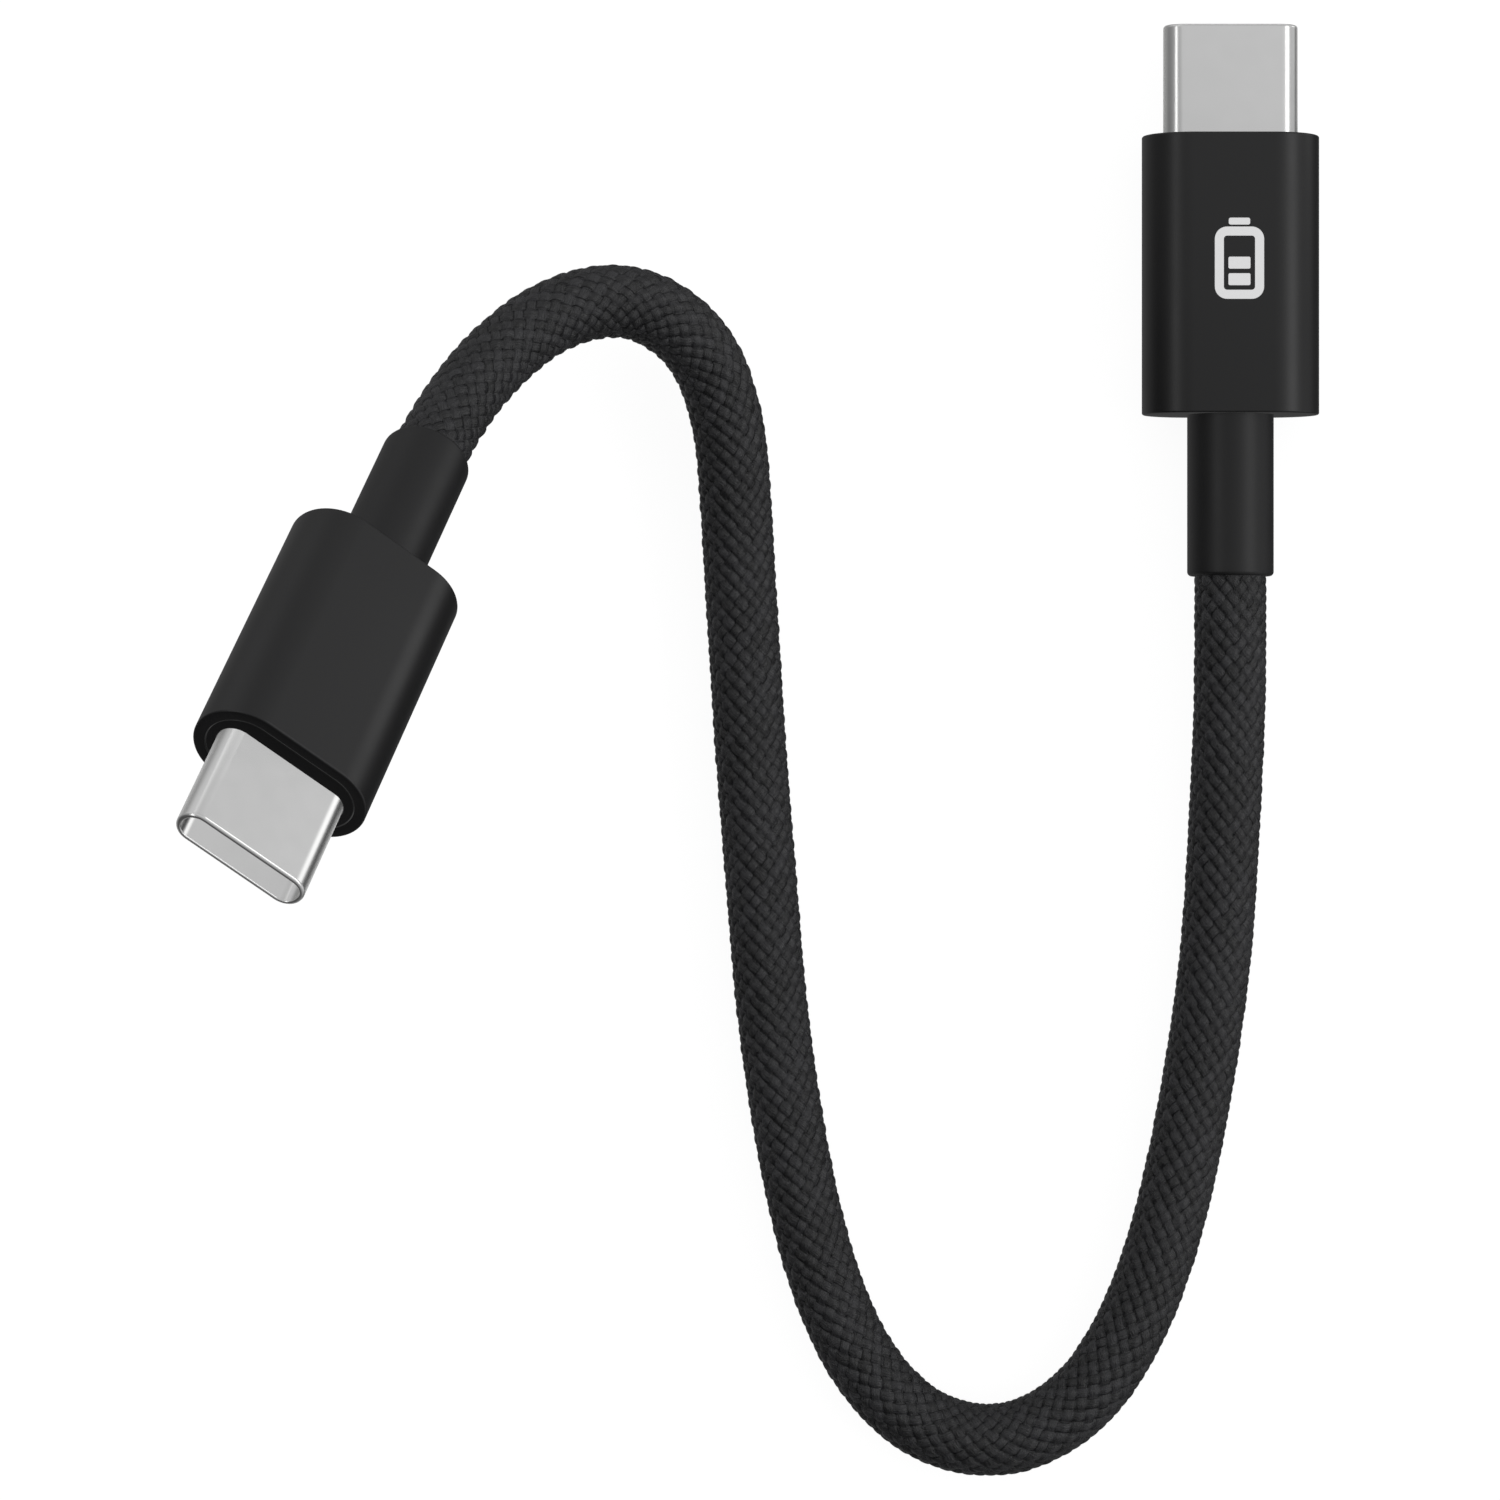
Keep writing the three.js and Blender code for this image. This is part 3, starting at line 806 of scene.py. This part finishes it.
# nickel plate over drawn steel: bright, slightly blurred reflections, faint draw lines 0.07 mm
# apart along y, which is plug A's length, and a pale sheen where it is seen at a slant. The
# plating's haze is in patches of 1.4 mm.
DRAW_LINES_PER_MM = (14, 0.7, 14)
HAZE_PER_MM = 0.7
SHEEN_STARTS = 0.45
SHEEN_FULL = 0.9
SHEEN_MOST = 0.65
nickel_plate, tree = new_material("nickel plate")
space = node(tree, "ShaderNodeTexCoord")
drawn = node(
    tree,
    "ShaderNodeMapping",
    inputs={"Scale": [lines / MM for lines in DRAW_LINES_PER_MM]},
    links={"Vector": (space, "Object")},
)
lines = node(
    tree,
    "ShaderNodeTexNoise",
    inputs={"Scale": 1.0, "Detail": 2.0},
    links={"Vector": (drawn, 0)},
)
haze = node(
    tree,
    "ShaderNodeTexNoise",
    inputs={"Scale": HAZE_PER_MM / MM, "Detail": 4.0},
    links={"Vector": (space, "Object")},
)
gloss = node(
    tree,
    "ShaderNodeMapRange",
    inputs={"To Min": 0.21, "To Max": 0.27},
    links={"Value": (haze, "Fac")},
)
shade = node(tree, "ShaderNodeValToRGB", links={"Fac": (haze, "Fac")})
shade.color_ramp.elements[0].color = linear("#f0f0ef")
shade.color_ramp.elements[1].color = linear("#f8f8f7")
line_bump = node(
    tree,
    "ShaderNodeBump",
    inputs={"Strength": 0.12, "Distance": 0.002 * MM},
    links={"Height": (lines, "Fac")},
)
plate = node(
    tree,
    "ShaderNodeBsdfPrincipled",
    inputs={"Metallic": 1.0},
    links={"Base Color": (shade, "Color"), "Roughness": (gloss, 0), "Normal": (line_bump, 0)},
)
slant = node(tree, "ShaderNodeLayerWeight", inputs={"Blend": 0.5})
sheen = node(
    tree,
    "ShaderNodeMapRange",
    {"interpolation_type": "SMOOTHSTEP"},
    {"From Min": SHEEN_STARTS, "From Max": SHEEN_FULL, "To Max": SHEEN_MOST},
    {"Value": (slant, "Facing")},
)
scatter = node(tree, "ShaderNodeBsdfDiffuse", links={"Color": (shade, "Color")})
plated = node(tree, "ShaderNodeMixShader", links={0: (sheen, 0), 1: (plate, 0), 2: (scatter, 0)})
node(tree, "ShaderNodeOutputMaterial", links={"Surface": (plated, 0)})

# a dim strip level with the table, which lights the tips alone and brightens their rounded sides
metal_tips = bpy.data.collections.new("metal tips")
back_strip = softbox("back_strip", off_zenith=91, azimuth=80, size=(0.25, 0.84), radiance=0.4)
back_strip.light_linking.receiver_collection = metal_tips
for plug in PLUGS:
    profile = rounded(
        [
            (TIP_WALL, TIP_REAR, 0),
            (0, TIP_REAR, TIP_REAR_EDGE),
            (0, TIP_FRONT, TIP_LIP),
            (TIP_WALL, TIP_FRONT, TIP_INNER_LIP),
        ],
        steps=LIP_STEPS,
    )
    tip = lofted(f"{plug}_metal_tip", plug, [(TIP, inset, y) for inset, y in profile])
    tip.data.materials.append(nickel_plate)
    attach(tip, plug)
    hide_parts(f"{plug}_shell")
    metal_tips.objects.link(tip)


# ---------------------------------------------------------------------------------------------
# Housings and front plates. Black polycarbonate: a one-piece sleeve with full-round sides, closed
# at the front by a separate plate that leaves a fine line 0.7 mm inside the outline.
# ---------------------------------------------------------------------------------------------
HOUSING = (10.87, 6.0, 3.0)
HOUSING_WALL = 0.7
HOUSING_RIM = 0.12
HOUSING_INNER_EDGE = 0.03
RELIEF_HOLE_RADIUS = RELIEF_RADIUS + 0.05
RELIEF_HOLE = (2 * RELIEF_HOLE_RADIUS, 2 * RELIEF_HOLE_RADIUS, RELIEF_HOLE_RADIUS)
PLATE_GAP = 0.05
PLATE_FRONT = -0.03
PLATE_REAR = -1.6
PLATE_EDGE = 0.04
TIP_HOLE_GAP = 0.05

# black polycarbonate, injection moulded: a fine, even mould texture of about 0.13 mm with a satin
# reflection, and slightly uneven gloss in patches of about 4 mm where it has been handled
MOULD_TEXTURE_PER_MM = 7.5
HANDLING_PER_MM = 0.26
black_polycarbonate, tree = new_material("black polycarbonate")
space = node(tree, "ShaderNodeTexCoord")
texture = node(
    tree,
    "ShaderNodeTexNoise",
    inputs={"Scale": MOULD_TEXTURE_PER_MM / MM, "Detail": 3.0},
    links={"Vector": (space, "Object")},
)
handling = node(
    tree,
    "ShaderNodeTexNoise",
    inputs={"Scale": HANDLING_PER_MM / MM, "Detail": 4.0},
    links={"Vector": (space, "Object")},
)
gloss = node(
    tree,
    "ShaderNodeMapRange",
    inputs={"To Min": 0.33, "To Max": 0.42},
    links={"Value": (handling, "Fac")},
)
shade = node(tree, "ShaderNodeValToRGB", links={"Fac": (texture, "Fac")})
shade.color_ramp.elements[0].color = linear("#070708")
shade.color_ramp.elements[1].color = linear("#0a0a0b")
mould_bump = node(
    tree,
    "ShaderNodeBump",
    inputs={"Strength": 0.2, "Distance": 0.004 * MM},
    links={"Height": (texture, "Fac")},
)
skin = node(
    tree,
    "ShaderNodeBsdfPrincipled",
    inputs={"IOR": 1.55},
    links={"Base Color": (shade, "Color"), "Roughness": (gloss, 0), "Normal": (mould_bump, 0)},
)
node(tree, "ShaderNodeOutputMaterial", links={"Surface": (skin, 0)})

for plug in PLUGS:
    outside = rounded(
        [
            (HOUSING_WALL, -HOUSING_LENGTH, 0),
            (0, -HOUSING_LENGTH, HOUSING_RIM),
            (0, 0, HOUSING_RIM),
            (HOUSING_WALL, 0, HOUSING_INNER_EDGE),
            (HOUSING_WALL, -HOUSING_LENGTH + HOUSING_REAR_WALL, 0),
        ]
    )
    hole = [(RELIEF_HOLE, 0, HOUSING_REAR_WALL - HOUSING_LENGTH), (RELIEF_HOLE, 0, -HOUSING_LENGTH)]
    sleeve = [(HOUSING, inset, y) for inset, y in outside[1:]]
    housing = lofted(f"{plug}_outer_housing", plug, sleeve + hole)
    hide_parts(f"{plug}_housing")

    inset = HOUSING_WALL + PLATE_GAP
    plate_outline = (HOUSING[0] - 2 * inset, HOUSING[1] - 2 * inset, HOUSING[2] - inset)
    edge = [(plate_outline, *place) for place in front_rounded(PLATE_REAR, PLATE_FRONT, PLATE_EDGE)]
    hole = [(TIP, -TIP_HOLE_GAP, PLATE_FRONT), (TIP, -TIP_HOLE_GAP, PLATE_REAR)]
    plate = lofted(f"{plug}_face_plate", plug, edge + hole)
    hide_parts(f"{plug}_front_plate")
    for piece in (housing, plate):
        piece.data.materials.append(black_polycarbonate)
        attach(piece, plug)


# ---------------------------------------------------------------------------------------------
# Printed mark. A plain battery pictogram, pad-printed in light grey on plug A's upper face. It
# marks the charging end, and is a film of ink about a hundredth of a millimetre thick.
# ---------------------------------------------------------------------------------------------
MARK_CENTRE = (0.3, -8.0)
MARK_SIZE = (3.0, 4.4)
MARK_STROKE = 0.55
MARK_CORNER = 0.75
MARK_CAP = (1.3, 0.42)
MARK_CAP_GAP = 0.12
MARK_CAP_CORNER = 0.12
MARK_BARS = 2
MARK_BAR_GAP = 0.28
MARK_BAR_CORNER = 0.1
INK_THICKNESS = 0.012
MARK_ARC = 10


def flat_outline(centre, size, radius):
    """Points round a rounded rectangle on the plug's upper face."""
    points = []
    for quarter, (sx, sy) in enumerate(((1, 1), (-1, 1), (-1, -1), (1, -1))):
        for angle in np.linspace(quarter, quarter + 1, MARK_ARC + 1) * math.pi / 2:
            x = centre[0] + sx * (size[0] / 2 - radius) + radius * math.cos(angle)
            y = centre[1] + sy * (size[1] / 2 - radius) + radius * math.sin(angle)
            points.append((x, y))
    return points


def inked(patches):
    """A film over filled outlines and over frames between two outlines with as many points each."""
    top, base = HOUSING[1] / 2 + INK_THICKNESS, HOUSING[1] / 2 - INK_THICKNESS
    points, faces = [], []
    for outer, inner in patches:
        n = len(outer)
        at = len(points)
        for outline, z in ((outer, base), (outer, top), (inner or [], top), (inner or [], base)):
            points += [tuple(PLUGS["plug_a"] @ (Vector((x, y, z)) * MM)) for x, y in outline]
        if inner:
            bands = [(0, 1), (1, 2), (2, 3), (3, 0)]
        else:
            bands = [(0, 1)]
            faces += [tuple(range(at + n, at + 2 * n)), tuple(range(at + n - 1, at - 1, -1))]
        for low, high in bands:
            for k in range(n):
                m = (k + 1) % n
                faces.append((at + low * n + k, at + low * n + m, at + high * n + m, at + high * n + k))
    return points, faces


cx, cy = MARK_CENTRE
inner_size = (MARK_SIZE[0] - 2 * MARK_STROKE, MARK_SIZE[1] - 2 * MARK_STROKE)
# the bars leave room for one more above them
bar_width = inner_size[0] - 2 * MARK_BAR_GAP
bar_height = (inner_size[1] - (MARK_BARS + 2) * MARK_BAR_GAP) / (MARK_BARS + 1)
outside = flat_outline(MARK_CENTRE, MARK_SIZE, MARK_CORNER)
inside = flat_outline(MARK_CENTRE, inner_size, MARK_CORNER - MARK_STROKE)
cap_y = cy + MARK_SIZE[1] / 2 + MARK_CAP[1] / 2 + MARK_CAP_GAP
patches = [(outside, inside), (flat_outline((cx, cap_y), MARK_CAP, MARK_CAP_CORNER), None)]
for bar in range(MARK_BARS):
    bar_y = cy - inner_size[1] / 2 + MARK_BAR_GAP + bar_height / 2 + bar * (bar_height + MARK_BAR_GAP)
    patches.append((flat_outline((cx, bar_y), (bar_width, bar_height), MARK_BAR_CORNER), None))
mark = mesh_object("plug_a_printed_mark", *inked(patches))
clean_up(mark)

# light grey pad-printing ink: matte, with the faint orange-peel of a transferred film, drawn 0.2 mm
# across. A little emission makes it lighter than the studio light alone would.
INK_PEEL_PER_MM = 5
INK_GLOW = 0.2
printing_ink, tree = new_material("light grey printing ink")
space = node(tree, "ShaderNodeTexCoord")
peel = node(
    tree,
    "ShaderNodeTexNoise",
    inputs={"Scale": INK_PEEL_PER_MM / MM, "Detail": 2.0},
    links={"Vector": (space, "Object")},
)
shade = node(tree, "ShaderNodeValToRGB", links={"Fac": (peel, "Fac")})
shade.color_ramp.elements[0].color = linear("#f0f0f0")
shade.color_ramp.elements[1].color = linear("#f8f8f8")
gloss = node(
    tree,
    "ShaderNodeMapRange",
    inputs={"To Min": 0.5, "To Max": 0.6},
    links={"Value": (peel, "Fac")},
)
peel_bump = node(
    tree,
    "ShaderNodeBump",
    inputs={"Strength": 0.15, "Distance": 0.003 * MM},
    links={"Height": (peel, "Fac")},
)
ink = node(
    tree,
    "ShaderNodeBsdfPrincipled",
    inputs={"IOR": 1.5, "Emission Color": (1, 1, 1, 1), "Emission Strength": INK_GLOW},
    links={"Base Color": (shade, "Color"), "Roughness": (gloss, 0), "Normal": (peel_bump, 0)},
)
node(tree, "ShaderNodeOutputMaterial", links={"Surface": (ink, 0)})
mark.data.materials.append(printing_ink)
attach(mark, "plug_a")


# ---------------------------------------------------------------------------------------------
# Inside each plug. Contact rows, springs, circuit card, shield covers, wires, crimp and jacket
# keep the shapes they have in the CAD model, and are finished here in what they are made of.
# ---------------------------------------------------------------------------------------------
def finish_of(name, colours, roughness, per_mm, stretch, height, ior=None):
    """A finish that varies between two colours and roughnesses. One without an IOR is a metal."""
    material, tree = new_material(name)
    space = node(tree, "ShaderNodeTexCoord")
    laid = node(
        tree,
        "ShaderNodeMapping",
        inputs={"Scale": [per_mm / MM * way for way in stretch]},
        links={"Vector": (space, "Object")},
    )
    pattern = node(
        tree,
        "ShaderNodeTexNoise",
        inputs={"Scale": 1.0, "Detail": 3.0},
        links={"Vector": (laid, 0)},
    )
    shade = node(tree, "ShaderNodeValToRGB", links={"Fac": (pattern, "Fac")})
    for stop, colour in zip(shade.color_ramp.elements, colours):
        stop.color = linear(colour)
    gloss = node(
        tree,
        "ShaderNodeMapRange",
        inputs={"To Min": roughness[0], "To Max": roughness[1]},
        links={"Value": (pattern, "Fac")},
    )
    relief = node(
        tree,
        "ShaderNodeBump",
        inputs={"Strength": 0.3, "Distance": height * MM},
        links={"Height": (pattern, "Fac")},
    )
    skin = node(
        tree,
        "ShaderNodeBsdfPrincipled",
        inputs={"IOR": ior} if ior else {"Metallic": 1.0},
        links={"Base Color": (shade, "Color"), "Roughness": (gloss, 0), "Normal": (relief, 0)},
    )
    node(tree, "ShaderNodeOutputMaterial", links={"Surface": (skin, 0)})
    return material


# how a pattern is stretched: rolled, drawn and extruded ones run along y, which is plug A's length
EVEN = (1, 1, 1)
ROLLED = (1, 0.06, 1)
DRAWN_OUT = (1, 0.2, 1)
EXTRUDED = (1, 0.15, 1)

# gold plate on copper alloy: warm and bright, with rolling lines 0.11 mm apart
gold_plate = finish_of(
    "gold plate on copper alloy", ("#c9a04a", "#e0bb66"), (0.2, 0.34), 9, ROLLED, 0.002
)
# spring steel, cold rolled: cool grey, with the same fine lines
spring_steel = finish_of("rolled spring steel", ("#a9abad", "#c8cacb"), (0.24, 0.4), 9, ROLLED, 0.002)
# sheet steel dipped in tin: pale and slightly clouded, in patches of about half a millimetre
tinned_steel = finish_of("hot-tinned sheet steel", ("#adb0b3", "#cfd1d2"), (0.3, 0.5), 1.8, EVEN, 0.004)
# solder mask over woven glass: green and satin, mottled by the cloth's cells of about 0.3 mm
solder_mask = finish_of(
    "green solder mask over glass cloth", ("#124a2c", "#1d6840"), (0.3, 0.42), 3.6, EVEN, 0.006, 1.52
)
# epoxy moulding compound: near black and dull, with filler grains drawn 0.11 mm across
moulding_compound = finish_of(
    "black moulding compound", ("#141415", "#222223"), (0.5, 0.66), 9, EVEN, 0.004, 1.55
)
# extruded jacket: dark grey and matte, with a faint drawn-out streak
jacket_pvc = finish_of(
    "dark grey jacket compound", ("#303032", "#3c3c3f"), (0.48, 0.62), 3, DRAWN_OUT, 0.006, 1.53
)
# extruded wire insulation: smooth and fairly glossy, in one colour for each line
WIRE_COLOURS = {
    "vbus": ("#9c2022", "#b5292b"),
    "ground": ("#161617", "#1f1f20"),
    "cc": ("#234898", "#2c56ad"),
    "data_plus": ("#287a40", "#329149"),
    "data_minus": ("#dcdcd9", "#ececea"),
}
wire_coats = {
    wire: finish_of(f"extruded wire coat {wire}", colours, (0.25, 0.36), 2.5, EXTRUDED, 0.004, 1.5)
    for wire, colours in WIRE_COLOURS.items()
}
FINISHES = {
    "contact_row_top": gold_plate,
    "contact_row_bottom": gold_plate,
    "latch_plate": spring_steel,
    "emi_spring_top": spring_steel,
    "emi_spring_bottom": spring_steel,
    "circuit_card": solder_mask,
    "cable_id_chip": moulding_compound,
    "shield_upper": tinned_steel,
    "shield_lower": tinned_steel,
    "crimp_ferrule": tinned_steel,
    "jacket_end": jacket_pvc,
    **{f"wire_{wire}": coat for wire, coat in wire_coats.items()},
}
for name, piece in frame["nodes"].items():
    inner_name = name.removeprefix("plug_a_").removeprefix("plug_b_")
    finish = jacket_pvc if name == "cord_core" else FINISHES.get(inner_name)
    if finish:
        piece.data.materials.clear()
        piece.data.materials.append(finish)


# the plugs' pieces aren't mirrored in each other, so the pale metal stays even beside the black
for made in bpy.context.scene.objects:
    if made.type == "MESH" and made.name.startswith("plug_"):
        made.visible_glossy = False
